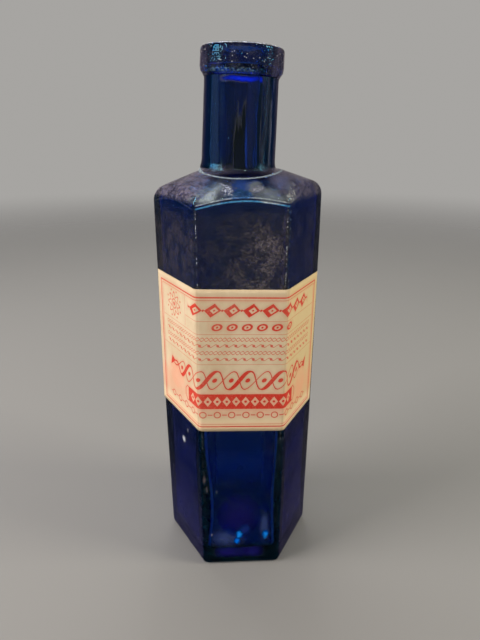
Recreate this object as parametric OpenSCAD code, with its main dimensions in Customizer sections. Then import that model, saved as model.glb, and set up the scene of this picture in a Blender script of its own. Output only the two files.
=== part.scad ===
// Six-sided blue glass bottle with a folded paper label, open at the mouth.
// Origin: middle of the base, on the surface that it stands on. +Z is up and the label faces -Y.

/* [Body] */
// Width of one of the six panels at the base, measured to sharp corners
panel_w = 30; // [27:0.5:34]
// How much wider the panels are at the shoulder than at the base
shoulder_growth = 1.022; // [1:0.002:1.04]
// How far the panels swell at half height
swell = 0.25; // [0:0.05:0.6]
// Height of the rounded shoulder edge at a corner
shoulder_z = 145.3; // [130:0.5:160]
// Radius of the six upright corners
corner_r = 2.1; // [1:0.1:4]
// Radius of the edge around the base
heel_r = 1.9; // [1:0.1:3]
// Slope of the shoulder, in degrees
shoulder_slope = 20; // [12:0.5:28]
// Radius of the shoulder edge at a corner
edge_r_corner = 5.5; // [3:0.1:7]
// Radius of the shoulder edge at the middle of a panel
edge_r_panel = 7.2; // [4:0.1:9]
// Angle of the crease between panel and shoulder at a panel's middle, fading out towards the corners
crease = 16; // [0:1:24]
// Tilt of the uneven shoulder, higher towards +X, in degrees
shoulder_tilt = 1.7; // [0:0.1:2.5]
// Radius of the shallow hollow under the base
hollow_r = 17; // [8:0.5:19]
// Height of that hollow at its middle
hollow_h = 1.4; // [0.4:0.1:2.5]

/* [Inside] */
// Glass thickness behind a panel, under the shoulder
wall_top = 3.2; // [2:0.1:4]
// Glass thickness behind a panel, near the base
wall_bottom = 3.4; // [3:0.1:6]
// How much thicker the glass is at the waist of the space inside
waist_wall = 0.8; // [0:0.1:1.5]
// Height of that waist
waist_z = 42; // [32:1:60]
// Distance up or down in which that extra thickness falls to a third
waist_len = 24; // [12:1:30]
// Glass thickness of the shoulder, measured straight down
shoulder_wall = 3.6; // [2.5:0.1:5]
// Height of the floor inside
floor_z = 4.6; // [4:0.1:8]
// Radius of the upright corners inside
inner_corner_r = 6; // [3:0.5:9]
// Radius of the edge around the floor inside
floor_edge_r = 4.5; // [4:0.5:8]
// Diameter of the bore through the neck, which a cork fits
bore_d = 19; // [16:0.5:21]

/* [Neck and lip] */
// Height of the joint between shoulder and neck, on the middle line
neck_z = 156; // [155:0.5:162]
// How far the crooked neck leans towards +X, in degrees
neck_lean = 2.4; // [0:0.1:3]
// Neck radius at its foot, where it flares into the shoulder
neck_foot_r = 13.4; // [13.2:0.1:14.5]
// Neck radius just above that flare
neck_low_r = 12.95; // [12:0.05:13.1]
// Neck radius under the lip
neck_top_r = 12.55; // [11.8:0.05:12.9]
// Length of the neck from the joint to the lip's lower edge
neck_len = 28.2; // [22:0.2:34]
// How far the neck's end goes up into the lip
socket_h = 3.2; // [2:0.1:4]
// Height of the lip
lip_h = 9.2; // [8:0.1:12]
// Largest radius of the lip
lip_r = 14.1; // [13.6:0.05:15]
// Radius of the lip's rounded top edges
lip_edge_r = 1.3; // [0.8:0.1:1.8]

/* [Label] */
// Length of the label around three panels
label_w = 88; // [80:0.2:88]
// Height of the label
label_h = 54.4; // [40:0.2:62]
// Height of the label's middle above the base
label_z = 91.55; // [80:0.05:100]
// How far the label's middle lies from the middle of the front panel, towards +X
label_shift = -0.6; // [-1:0.1:1]
// Turn of the label from level, in degrees
label_turn = -1.1; // [-1.5:0.1:1.5]
// Thickness of the paper
paper_t = 0.2; // [0.1:0.05:0.4]
// Thickness of the paste film under it
paste_t = 0.1; // [0.05:0.05:0.2]

/* [Hidden] */
$fn = 96;
bore_r = bore_d / 2;

// Directions of the body's columns, seen from above. Each of the six sectors runs from
// corner to corner, with close columns round the corner and wide ones across the panel.
sector_steps = [0, 1.1, 2.05, 8, 15, 22.5, 30, 37.5, 45, 52, 57.95, 58.9];
columns = [for (corner = [0:5]) for (step = sector_steps) corner * 60 + step];

// Distance from the middle to a six-sided outline with rounded corners, in one direction.
// side is the panel's width to sharp corners, and r the corners' radius.
function outline(dir, side, r) =
    let (
        nearest = 60 * round(dir / 60),
        off = abs(dir - nearest),
        centre = side - r / cos(30),
        arc_end = atan2(r * sin(30), centre + r * cos(30))
    )
    off < arc_end
        ? centre * cos(off) + sqrt(pow(r, 2) - pow(centre * sin(off), 2))
        : side * cos(30) / cos(30 - off);

// Panel width at a height: it grows evenly and swells a little in the middle
function side_at(z) =
    let (t = z / shoulder_z)
    panel_w * (1 + (shoulder_growth - 1) * t) + 4 * swell * t * (1 - t) / cos(30);

shoulder_side = side_at(shoulder_z);
corner_reach = outline(0, shoulder_side, corner_r);
panel_reach = outline(30, shoulder_side, corner_r);

// The shoulder is a low cone. This is its height at a distance from the middle,
// set so that the rounded edge starts at shoulder_z on a corner.
cone_top = shoulder_z + edge_r_corner / cos(shoulder_slope)
    + (corner_reach - edge_r_corner) * tan(shoulder_slope);
function cone_z(r) = cone_top - r * tan(shoulder_slope);

// Where a direction lies between the middle of a panel, 0, and a corner, 1
function outward(reach) = (reach - panel_reach) / (corner_reach - panel_reach);
function edge_r(reach) = edge_r_panel + (edge_r_corner - edge_r_panel) * outward(reach);

// Points on the rounded edge between an upright wall and a cone, upwards from a crease of start degrees
function edge_points(reach, r, start, drop, steps) =
    let (
        end = 90 - shoulder_slope,
        top_r = reach - r * (cos(start) - cos(end))
    )
    [for (i = [0:steps])
        let (a = start + i * (end - start) / steps)
        [top_r + r * (cos(a) - cos(end)), cone_z(top_r) - drop - r * (sin(end) - sin(a))]];

function tilted(p, dir) = [p[0], p[1] + p[0] * cos(dir) * tan(shoulder_tilt)];
function joint_z(r, dir) = neck_z - r * cos(dir) * tan(neck_lean);

heel_steps = 3;
wall_steps = 5;
flare_foot_r = neck_foot_r + 2.1;

// Outside of the body in one direction, from the hollow under the base up to the joint
function outer_column(dir) =
    let (
        reach = outline(dir, shoulder_side, corner_r),
        start = crease * (1 - outward(reach)),
        edge = [for (p = edge_points(reach, edge_r(reach), start, 0, 5)) tilted(p, dir)],
        wall_top_z = edge[0][1],
        foot = tilted([flare_foot_r, cone_z(flare_foot_r)], dir),
        rim = [neck_foot_r, joint_z(neck_foot_r, dir)]
    )
    concat(
        [[hollow_r * 0.55, hollow_h * 0.8], [hollow_r, 0]],
        [for (i = [0:heel_steps])
            let (a = i * 90 / heel_steps, inset = heel_r * (1 - sin(a)))
            [outline(dir, panel_w - inset / cos(30), corner_r), heel_r * (1 - cos(a))]],
        [for (i = [1:wall_steps - 1])
            let (z = heel_r + (wall_top_z - heel_r) * i / wall_steps)
            [outline(dir, side_at(z), corner_r), z]],
        edge,
        [foot],
        [for (a = [30, 60])
            [foot[0] + (rim[0] - foot[0]) * sin(a), foot[1] + (rim[1] - foot[1]) * (1 - cos(a))]],
        [rim]
    );

inner_top_side = shoulder_side - wall_top / cos(30);
inner_bottom_side = panel_w - wall_bottom / cos(30);
inner_edge_r = 4;
inner_wall_low_z = floor_z + floor_edge_r;
inner_wall_steps = 12;

// Panel width of the space inside at a height: it grows evenly and draws in at the waist
function inner_side_at(z) =
    let (t = (z - floor_z) / (shoulder_z - floor_z))
    inner_bottom_side + (inner_top_side - inner_bottom_side) * t
        - waist_wall * exp(-pow((z - waist_z) / waist_len, 2)) / cos(30);

// Inside of the body in one direction, from the joint down to the floor
function inner_column(dir) =
    let (
        reach = outline(dir, inner_top_side, inner_corner_r),
        edge = [for (p = edge_points(reach, inner_edge_r, 0, shoulder_wall, 3)) tilted(p, dir)],
        wall_top_z = edge[0][1],
        mouth_z = tilted([bore_r, cone_z(bore_r) - shoulder_wall], dir)[1],
        low_reach = outline(dir, inner_side_at(inner_wall_low_z), inner_corner_r)
    )
    concat(
        [[bore_r, joint_z(bore_r, dir)], [bore_r, mouth_z + 0.8], [bore_r + 0.9, mouth_z - 0.5]],
        [for (i = [3:-1:0]) edge[i]],
        [for (i = [inner_wall_steps - 1:-1:1])
            let (z = inner_wall_low_z + (wall_top_z - inner_wall_low_z) * i / inner_wall_steps)
            [outline(dir, inner_side_at(z), inner_corner_r), z]],
        [for (a = [0, 30, 60, 90])
            [low_reach - floor_edge_r * (1 - cos(a)), inner_wall_low_z - floor_edge_r * sin(a)]]
    );

module body() {
    profiles = [for (dir = columns) concat(outer_column(dir), inner_column(dir))];
    rings = len(profiles[0]);
    around = len(columns);
    points = concat(
        [[0, 0, hollow_h]],
        [for (j = [0:rings - 1]) for (i = [0:around - 1])
            [profiles[i][j][0] * cos(columns[i]), profiles[i][j][0] * sin(columns[i]), profiles[i][j][1]]],
        [[0, 0, floor_z]]
    );
    last = len(points) - 1;
    faces = concat(
        [for (i = [0:around - 1]) [0, 1 + i, 1 + (i + 1) % around]],
        [for (j = [0:rings - 2]) for (i = [0:around - 1])
            let (
                a = 1 + j * around + i,
                b = 1 + j * around + (i + 1) % around
            )
            each [[a, a + around, b + around], [a, b + around, b]]],
        [for (i = [0:around - 1])
            [last, last - around + (i + 1) % around, last - around + i]]
    );
    color([0.06, 0.11, 0.42])
    polyhedron(points, faces);
}

// Places its children on the leaning middle line of the neck, with the joint at their z = 0
module on_neck() {
    translate([0, 0, neck_z])
    rotate([0, neck_lean, 0])
    children();
}

module neck() {
    flare_h = 2.4;
    color([0.07, 0.13, 0.5])
    on_neck()
    difference() {
        union() {
            cylinder(h = flare_h, r1 = neck_foot_r, r2 = neck_low_r);
            translate([0, 0, flare_h])
            cylinder(h = neck_len - flare_h, r1 = neck_low_r, r2 = neck_top_r);
            cylinder(h = neck_len + socket_h, r = neck_top_r);
        }
        translate([0, 0, -1])
        cylinder(h = neck_len + socket_h + 2, r = bore_r);
    }
}

// Outline of half of the lip: bevelled below, slightly narrower towards its round top edge
function lip_points() = concat(
    [[bore_r, 0], [neck_top_r, 0], [lip_r - 0.25, 1.8], [lip_r, 3.2]],
    [for (a = [0:15:90])
        [lip_r - 0.15 - lip_edge_r * (1 - cos(a)), lip_h - lip_edge_r * (1 - sin(a))]],
    [for (a = [0:15:90])
        [bore_r + lip_edge_r * (1 - sin(a)), lip_h - lip_edge_r * (1 - cos(a))]]
);

module lip() {
    color([0.09, 0.17, 0.6])
    on_neck()
    translate([0, 0, neck_len])
    difference() {
        rotate_extrude()
        polygon(lip_points());
        translate([0, 0, -1])
        cylinder(h = 1 + socket_h, r = neck_top_r);
    }
}

// Point on the body's outside, a distance clear of the glass, at a length around it
// from the middle of the front panel and at a height
function on_front(u, z, clear) =
    let (
        side = side_at(z),
        flat_half = side / 2 - corner_r * tan(30),
        apothem = side * cos(30),
        arc_len = corner_r * PI / 3,
        past = abs(u) - flat_half,
        turn = min(max(past / arc_len, 0), 1) * 60,
        run = max(past - arc_len, 0),
        x = min(abs(u), flat_half) + (corner_r + clear) * sin(turn) + run * cos(60),
        y = corner_r - apothem - (corner_r + clear) * cos(turn) + run * sin(60)
    )
    [sign(u) * x, y, z];

// A point of the label's sheet, given from its own middle, with the label's shift and turn
function on_label(u, v, clear) =
    on_front(
        label_shift + u * cos(label_turn) - v * sin(label_turn),
        label_z + u * sin(label_turn) + v * cos(label_turn),
        clear
    );

// A sheet folded round the front three panels, between two distances from the glass
module folded_sheet(w, h, clear_in, clear_out) {
    fold = side_at(label_z) / 2;
    // Lengths from the middle of the front panel, close together round the bottle's corner
    halves = concat([for (t = [0.35, 0.7]) t * fold], [for (i = [-3:3]) fold + i * 0.6], [fold * 2]);
    across = concat(
        [-w / 2],
        [for (i = [len(halves) - 1:-1:0]) -halves[i] - label_shift],
        [-label_shift],
        [for (half = halves) half - label_shift],
        [w / 2]
    );
    up = [for (t = [-2:2]) t * h / 4];
    cols = len(across);
    rows = len(up);
    points = concat(
        [for (v = up) for (u = across) on_label(u, v, clear_in)],
        [for (v = up) for (u = across) on_label(u, v, clear_out)]
    );
    front = cols * rows;
    // Outline of the sheet as indices, once round
    rim = concat(
        [for (i = [0:cols - 1]) i],
        [for (j = [1:rows - 1]) j * cols + cols - 1],
        [for (i = [cols - 2:-1:0]) (rows - 1) * cols + i],
        [for (j = [rows - 2:-1:1]) j * cols]
    );
    faces = concat(
        [for (j = [0:rows - 2]) for (i = [0:cols - 2])
            let (a = j * cols + i)
            each [
                [a, a + cols, a + cols + 1], [a, a + cols + 1, a + 1],
                [front + a, front + a + cols + 1, front + a + cols],
                [front + a, front + a + 1, front + a + cols + 1]
            ]],
        [for (k = [0:len(rim) - 1])
            let (a = rim[k], b = rim[(k + 1) % len(rim)])
            each [[a, b, front + b], [a, front + b, front + a]]]
    );
    polyhedron(points, faces);
}

module label_paste() {
    edge_gap = 0.6;
    color([0.62, 0.56, 0.4])
    folded_sheet(label_w - 2 * edge_gap, label_h - 2 * edge_gap, 0, paste_t);
}

module paper_label() {
    color([0.87, 0.79, 0.66])
    folded_sheet(label_w, label_h, paste_t, paste_t + paper_t);
}

body();
neck();
lip();
paper_label();
label_paste();
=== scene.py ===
"""Looks of a six-sided blue glass bottle with a paper label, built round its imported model.

Everything is in metres in the model's frame: +Z up, the label faces -Y, the base stands at z = 0.
"""

import math
from functools import reduce

import bpy
import numpy as np
from mathutils import Euler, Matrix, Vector, noise


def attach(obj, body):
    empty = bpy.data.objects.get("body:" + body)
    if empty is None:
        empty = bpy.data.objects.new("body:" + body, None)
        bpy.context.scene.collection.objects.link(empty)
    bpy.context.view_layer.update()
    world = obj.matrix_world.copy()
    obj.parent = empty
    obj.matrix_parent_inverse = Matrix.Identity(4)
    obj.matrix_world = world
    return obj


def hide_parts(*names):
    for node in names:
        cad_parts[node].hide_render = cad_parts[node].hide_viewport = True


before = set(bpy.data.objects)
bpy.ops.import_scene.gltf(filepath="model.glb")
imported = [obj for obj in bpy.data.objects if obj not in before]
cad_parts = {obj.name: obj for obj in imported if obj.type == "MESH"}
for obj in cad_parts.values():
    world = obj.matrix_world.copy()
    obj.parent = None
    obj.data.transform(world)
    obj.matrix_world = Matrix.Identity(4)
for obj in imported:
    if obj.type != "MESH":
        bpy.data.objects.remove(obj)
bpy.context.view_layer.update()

MM = 0.001


def cosd(a):
    return math.cos(math.radians(a))


def sind(a):
    return math.sin(math.radians(a))


def tand(a):
    return math.tan(math.radians(a))


# Dimensions of the glass, in millimetres and degrees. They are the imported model's own.
PANEL_W = 30.0
SHOULDER_GROWTH = 1.022
SWELL = 0.25
SHOULDER_Z = 145.3
CORNER_R = 2.1
HEEL_R = 1.9
SHOULDER_SLOPE = 20.0
EDGE_R_CORNER = 5.5
EDGE_R_PANEL = 7.2
CREASE = 16.0
SHOULDER_TILT = 1.7
HOLLOW_R = 17.0
HOLLOW_H = 1.4
WALL_TOP = 3.2
WALL_BOTTOM = 3.4
WAIST_WALL = 0.8
WAIST_Z = 42.0
WAIST_LEN = 24.0
SHOULDER_WALL = 3.6
FLOOR_Z = 4.6
INNER_CORNER_R = 6.0
INNER_EDGE_R = 4.0
FLOOR_EDGE_R = 4.5
BORE_R = 9.5
NECK_Z = 156.0
NECK_LEAN = 2.4
NECK_FOOT_R = 13.4
NECK_LOW_R = 12.95
NECK_TOP_R = 12.55
NECK_LEN = 28.2
SOCKET_H = 3.2
LIP_H = 9.2
LIP_R = 14.1
LIP_EDGE_R = 1.3
LIP_BEVEL_R = LIP_R - 0.25
LIP_BEVEL_H = 1.8
LIP_WIDEST_H = 3.2
LIP_TOP_R = LIP_R - 0.15

# The label, in millimetres and degrees
LABEL_W = 88.0
LABEL_H = 54.4
LABEL_Z = 91.55
LABEL_SHIFT = -0.6
LABEL_TURN = -1.1
PAPER_T = 0.2
PASTE_T = 0.1
PASTE_GAP = 0.6

# Small curves and gaps of these meshes alone, in millimetres. The pairs are outwards and up.
MOUTH_ROUND = ((0.0, 0.8), (0.2, 0.0), (0.9, -0.5))
NECK_FLARE = ((0.17, 0.9), (0.05, 1.7), (0.0, 2.6))
LIP_CLEARANCE = 0.02
PAPER_CLEARANCE = 0.002

# How finely the meshes are divided. The steps across the hollow are shares of its radius.
HOLLOW_STEPS = (0.12, 0.3, 0.5, 0.7, 0.88)
WALL_RINGS = 62
INNER_WALL_RINGS = 52
NECK_RINGS = 22
LIP_SIDES = 180
LABEL_COLUMNS = 145
LABEL_ROWS = 37


def outline(direction, side, r):
    """Distance from the middle to a six-sided outline with rounded corners, in one direction."""
    off = abs(direction - 60 * round(direction / 60))
    centre = side - r / cosd(30)
    arc_end = math.degrees(math.atan2(r * sind(30), centre + r * cosd(30)))
    if off < arc_end:
        return centre * cosd(off) + math.sqrt(r**2 - (centre * sind(off)) ** 2)
    return side * cosd(30) / cosd(30 - off)


def side_at(z):
    """Side of the outside's six-sided section at a height."""
    t = z / SHOULDER_Z
    return PANEL_W * (1 + (SHOULDER_GROWTH - 1) * t) + 4 * SWELL * t * (1 - t) / cosd(30)


SHOULDER_SIDE = side_at(SHOULDER_Z)
CORNER_REACH = outline(0, SHOULDER_SIDE, CORNER_R)
PANEL_REACH = outline(30, SHOULDER_SIDE, CORNER_R)
CORNER_TOP = SHOULDER_Z + EDGE_R_CORNER / cosd(SHOULDER_SLOPE)
CONE_TOP = CORNER_TOP + (CORNER_REACH - EDGE_R_CORNER) * tand(SHOULDER_SLOPE)
FLARE_FOOT_R = NECK_FOOT_R + 2.1


def cone_z(r):
    """Height of the shoulder's cone at a radius, before its tilt."""
    return CONE_TOP - r * tand(SHOULDER_SLOPE)


def edge_points(reach, r, start, drop, steps):
    """The rounded edge between a wall and the shoulder's cone, upwards from a crease of start degrees."""
    end = 90 - SHOULDER_SLOPE
    top_r = reach - r * (cosd(start) - cosd(end))
    angles = np.linspace(start, end, steps + 1)
    top_z = cone_z(top_r) - drop
    return [(top_r + r * (cosd(a) - cosd(end)), top_z - r * (sind(end) - sind(a))) for a in angles]


def tilted(p, direction):
    """A point of a column, raised or lowered by the shoulder's tilt to the left."""
    return p[0], p[1] + p[0] * cosd(direction) * tand(SHOULDER_TILT)


def joint_z(r, direction):
    """Height of the joint of body and neck, which leans with the neck."""
    return NECK_Z - r * cosd(direction) * tand(NECK_LEAN)


def between(a, b, count):
    """Points strictly between two points, evenly spread."""
    steps = np.linspace(0, 1, count + 2)[1:-1]
    return [(a[0] + (b[0] - a[0]) * t, a[1] + (b[1] - a[1]) * t) for t in steps]


def shoulder_edge(direction):
    """The rounded edge of the shoulder in one direction, upwards from the crease."""
    reach = outline(direction, SHOULDER_SIDE, CORNER_R)
    outward = (reach - PANEL_REACH) / (CORNER_REACH - PANEL_REACH)
    edge_r = EDGE_R_PANEL + (EDGE_R_CORNER - EDGE_R_PANEL) * outward
    return [tilted(p, direction) for p in edge_points(reach, edge_r, CREASE * (1 - outward), 0, 12)]


def outer_column(direction):
    """The outside in one direction, as (radius, height), from the hollow below to the neck's joint."""
    edge = shoulder_edge(direction)
    foot = tilted((FLARE_FOOT_R, cone_z(FLARE_FOOT_R)), direction)
    rim = (NECK_FOOT_R, joint_z(NECK_FOOT_R, direction))
    hollow = [(HOLLOW_R * s, HOLLOW_H * (1 - s**2)) for s in HOLLOW_STEPS]
    hollow.append((HOLLOW_R, 0.0))
    heel_start = outline(direction, PANEL_W - HEEL_R / cosd(30), CORNER_R)
    ring = between(hollow[-1], (heel_start, 0.0), 2)
    heel = [
        (outline(direction, PANEL_W - HEEL_R * (1 - sind(a)) / cosd(30), CORNER_R), HEEL_R * (1 - cosd(a)))
        for a in np.linspace(0, 90, 8)
    ]
    wall = [
        (outline(direction, side_at(z), CORNER_R), z)
        for z in np.linspace(HEEL_R, edge[0][1], WALL_RINGS)[1:-1]
    ]
    flare = [
        (foot[0] + (rim[0] - foot[0]) * sind(a), foot[1] + (rim[1] - foot[1]) * (1 - cosd(a)))
        for a in np.linspace(0, 90, 7)
    ]
    return hollow + ring + heel + wall + edge + between(edge[-1], foot, 8) + flare


INNER_TOP_SIDE = SHOULDER_SIDE - WALL_TOP / cosd(30)
INNER_BOTTOM_SIDE = PANEL_W - WALL_BOTTOM / cosd(30)
INNER_LOW_Z = FLOOR_Z + FLOOR_EDGE_R


def inner_side_at(z):
    """Side of the inside's six-sided section at a height."""
    even = INNER_BOTTOM_SIDE + (INNER_TOP_SIDE - INNER_BOTTOM_SIDE) * (z - FLOOR_Z) / (SHOULDER_Z - FLOOR_Z)
    return even - WAIST_WALL * math.exp(-(((z - WAIST_Z) / WAIST_LEN) ** 2)) / cosd(30)


def inner_column(direction):
    """The inside in one direction, from under the neck's bore down to the middle of the floor."""
    reach = outline(direction, INNER_TOP_SIDE, INNER_CORNER_R)
    edge = [tilted(p, direction) for p in edge_points(reach, INNER_EDGE_R, 0, SHOULDER_WALL, 8)]
    mouth_z = tilted((BORE_R, cone_z(BORE_R) - SHOULDER_WALL), direction)[1]
    mouth = [(BORE_R + past, mouth_z + up) for past, up in MOUTH_ROUND]
    wall = [
        (outline(direction, inner_side_at(z), INNER_CORNER_R), z)
        for z in np.linspace(edge[0][1], INNER_LOW_Z, INNER_WALL_RINGS)[1:-1]
    ]
    low = outline(direction, inner_side_at(INNER_LOW_Z), INNER_CORNER_R)
    foot = [
        (low - FLOOR_EDGE_R * (1 - cosd(a)), INNER_LOW_Z - FLOOR_EDGE_R * sind(a))
        for a in np.linspace(0, 90, 10)
    ]
    floor = between(foot[-1], (0.0, FLOOR_Z), 6)
    return mouth + between(mouth[-1], edge[-1], 8) + edge[::-1] + wall + foot + floor


# Directions of the glass's columns, closest together round each corner
SECTOR = [0, 0.35, 0.7, 1.05, 1.4, 1.75, 2.05, 2.5, 3.5, 5, 7.5, 10, 13, 16, 19, 22, 25, 27.5]
SECTOR = SECTOR + [30] + [60 - a for a in SECTOR[:0:-1]]
DIRECTIONS = [corner * 60 + a for corner in range(6) for a in SECTOR]


def on_neck(radius, along, direction):
    """A point round the neck's leaning middle line, at a height along it."""
    x, y = radius * cosd(direction), radius * sind(direction)
    return (
        x * cosd(NECK_LEAN) + along * sind(NECK_LEAN),
        y,
        NECK_Z - x * sind(NECK_LEAN) + along * cosd(NECK_LEAN),
    )


def ripple(p, size, seed):
    """Smooth noise from -1 to 1 at a point in millimetres."""
    return noise.noise(Vector((p[0] / size + seed, p[1] / size, p[2] / size)))


def rings_of(columns):
    """Rings of points, from columns of (radius, height)."""
    return [
        [(r * cosd(d), r * sind(d), z) for d, (r, z) in zip(DIRECTIONS, ring)]
        for ring in zip(*columns)
    ]


def moved_in(rings, depth):
    """Moves each point of the rings sideways towards the middle line by depth(point)."""
    out = []
    for ring in rings:
        moved = []
        for x, y, z in ring:
            r = math.hypot(x, y)
            k = 1 - depth((x, y, z)) / r if r > 1e-6 else 1
            moved.append((x * k, y * k, z))
        out.append(moved)
    return out


def smooth_step(low, high, x):
    t = min(max((x - low) / (high - low), 0), 1)
    return t * t * (3 - 2 * t)


def outside_wave(p):
    """How far the mould-blown outside dips in, up to 0.1 mm, and not where it stands."""
    return 0.05 * (1 + ripple(p, 17, 3.1)) * smooth_step(2, 12, p[2])


def inside_wave(p):
    """How far the free-blown inside comes in or out, up to about 0.5 mm."""
    return (0.35 * ripple(p, 16, 8.7) + 0.12 * ripple(p, 6, 1.9)) * smooth_step(8, 20, p[2])


def neck_wave(p):
    """How far the neck dips in."""
    return 0.05 * (1 + ripple((p[0], p[1], p[2] / 4), 5, 5.5))


def bore_wave(p):
    """How far the bore dips in. It is below zero, since the streaks stand back in the glass."""
    return -0.2 * (1 + ripple((p[0], p[1], p[2] / 4), 5, 7.3))


def lip_wave(p):
    """How far the collar dips in."""
    return 0.07 * (1 + ripple(p, 4.5, 2.2))


def paper_wave(u, v):
    """How far the printed side of the label dips, up to 0.04 mm."""
    return 0.04 * abs(ripple((u, v, 0), 9, 4.4))


def grid_faces(rings, count, first=0):
    """Faces between neighbouring rings of a closed strip."""
    faces = []
    for j in range(rings - 1):
        for i in range(count):
            a = first + j * count + i
            b = first + j * count + (i + 1) % count
            faces.append((a, b, b + count, a + count))
    return faces


def new_object(name, data):
    obj = bpy.data.objects.new(name, data)
    bpy.context.scene.collection.objects.link(obj)
    return obj


def add_mesh(name, points, faces, materials):
    """A smooth mesh object from points in millimetres."""
    mesh = bpy.data.meshes.new(name)
    mesh.from_pydata([tuple(c * MM for c in p) for p in points], [], faces)
    for material in materials:
        mesh.materials.append(material)
    mesh.polygons.foreach_set("use_smooth", [True] * len(mesh.polygons))
    mesh.update()
    return new_object(name, mesh)


def material_tree(name):
    """A new material, its nodes, and its shader."""
    material = bpy.data.materials.new(name)
    material.use_nodes = True
    tree = material.node_tree
    shader = tree.nodes["Principled BSDF"]
    return material, tree, shader


def store(obj, name, values):
    """Keeps a number for each point of a mesh, for its material to read."""
    obj.data.attributes.new(name, "FLOAT", "POINT").data.foreach_set("value", values)


def fill(node, values):
    """Sets some inputs of a node."""
    for name, value in values.items():
        node.inputs[name].default_value = value


class Field:
    """A number that varies over a surface. Arithmetic on it adds Math nodes to its material."""

    def __init__(self, tree, socket):
        self.tree = tree
        self.socket = socket

    def math(self, operation, *others, clamp=False):
        node = self.tree.nodes.new("ShaderNodeMath")
        node.operation = operation
        node.use_clamp = clamp
        for slot, value in zip(node.inputs, (self, *others)):
            if isinstance(value, Field):
                self.tree.links.new(value.socket, slot)
            else:
                slot.default_value = value
        return Field(self.tree, node.outputs[0])

    def __add__(self, other):
        return self.math("ADD", other)

    def __sub__(self, other):
        return self.math("SUBTRACT", other)

    def __mul__(self, other):
        return self.math("MULTIPLY", other)

    def __truediv__(self, other):
        return self.math("DIVIDE", other)

    def __abs__(self):
        return self.math("ABSOLUTE")

    def least(self, other):
        return self.math("MINIMUM", other)

    def most(self, other):
        return self.math("MAXIMUM", other)

    def flipped(self):
        """1 minus this."""
        node = self.tree.nodes.new("ShaderNodeMath")
        node.operation = "SUBTRACT"
        node.inputs[0].default_value = 1
        self.tree.links.new(self.socket, node.inputs[1])
        return Field(self.tree, node.outputs[0])

    def ramp(self, low, high, start=0.0, end=1.0):
        """A smooth step from start at low to end at high."""
        node = self.tree.nodes.new("ShaderNodeMapRange")
        node.interpolation_type = "SMOOTHSTEP"
        self.tree.links.new(self.socket, node.inputs["Value"])
        fill(node, {"From Min": low, "From Max": high, "To Min": start, "To Max": end})
        return Field(self.tree, node.outputs["Result"])

    def below_zero(self, soft):
        """1 where this is under zero, with a soft step."""
        return self.ramp(-soft, soft, 1, 0)


def length_of(x, y):
    return (x * x + y * y).math("SQRT")


def noise_field(tree, vector, scale, detail=3.0, roughness=0.55, stretch=None):
    if stretch:
        mapping = tree.nodes.new("ShaderNodeMapping")
        mapping.inputs["Scale"].default_value = stretch
        tree.links.new(vector, mapping.inputs["Vector"])
        vector = mapping.outputs["Vector"]
    node = tree.nodes.new("ShaderNodeTexNoise")
    fill(node, {"Scale": scale, "Detail": detail, "Roughness": roughness})
    tree.links.new(vector, node.inputs["Vector"])
    return Field(tree, node.outputs["Fac"])


def bump(tree, shader, height, distance, strength=1.0):
    node = tree.nodes.new("ShaderNodeBump")
    fill(node, {"Strength": strength, "Distance": distance})
    tree.links.new(height.socket, node.inputs["Height"])
    tree.links.new(node.outputs["Normal"], shader.inputs["Normal"])


def blend_colours(tree, amount, low, high):
    """A colour socket that goes from low to high. Each is a colour or a socket."""
    node = tree.nodes.new("ShaderNodeMix")
    node.data_type = "RGBA"
    tree.links.new(amount.socket, node.inputs["Factor"])
    for slot, value in ((node.inputs["A"], low), (node.inputs["B"], high)):
        if isinstance(value, bpy.types.NodeSocket):
            tree.links.new(value, slot)
        else:
            slot.default_value = (*value, 1)
    return node.outputs["Result"]


def object_coordinates(tree):
    return tree.nodes.new("ShaderNodeTexCoord").outputs["Object"]


def parts_of(tree, vector):
    """The three numbers of a vector."""
    split = tree.nodes.new("ShaderNodeSeparateXYZ")
    tree.links.new(vector, split.inputs["Vector"])
    return [Field(tree, split.outputs[axis]) for axis in "XYZ"]


def line_at(distance, place, half, soft):
    """1 on a line at a distance, fading out on both sides of it."""
    return abs(distance - place).ramp(half, half + soft, 1, 0)


def blob(u, v, u_at, v_at, half_u, half_v, strength=1, slope=0):
    """A soft-edged oval, of the given strength in its middle, with its long way sheared up by a slope."""
    if slope:
        v = v - u * slope
    oval = length_of((u - u_at) / half_u, (v - v_at) / half_v).ramp(0.2, 1.15, 1, 0)
    return oval if strength == 1 else oval * strength


def blobs(u, v, ovals):
    """The most of some blobs: each is where it is, half its width, half its height, and its strength."""
    return reduce(Field.most, [blob(u, v, *oval) for oval in ovals])


class GlassPlace:
    """Where a point of the glass is, in millimetres, as fields for the materials of the glass."""

    def __init__(self, tree):
        self.tree = tree
        self.place = object_coordinates(tree)
        self.x, self.y, self.z = (number / MM for number in parts_of(tree, self.place))
        self.along = self.x * sind(NECK_LEAN) + (self.z - NECK_Z) * cosd(NECK_LEAN)

    def noise(self, scale, detail, roughness=0.55, stretch=None):
        return noise_field(self.tree, self.place, scale, detail, roughness, stretch)

    def specks(self, scale, size):
        """Round dots, about half of a scatter of one to each cell."""
        node = self.tree.nodes.new("ShaderNodeTexVoronoi")
        node.inputs["Scale"].default_value = scale
        self.tree.links.new(self.place, node.inputs["Vector"])
        return Field(self.tree, node.outputs["Distance"]).ramp(size, size * 1.6, 1, 0)

    def stored(self, name):
        """A number that store() kept on the mesh."""
        node = self.tree.nodes.new("ShaderNodeAttribute")
        node.attribute_name = name
        return Field(self.tree, node.outputs["Fac"])


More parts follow.
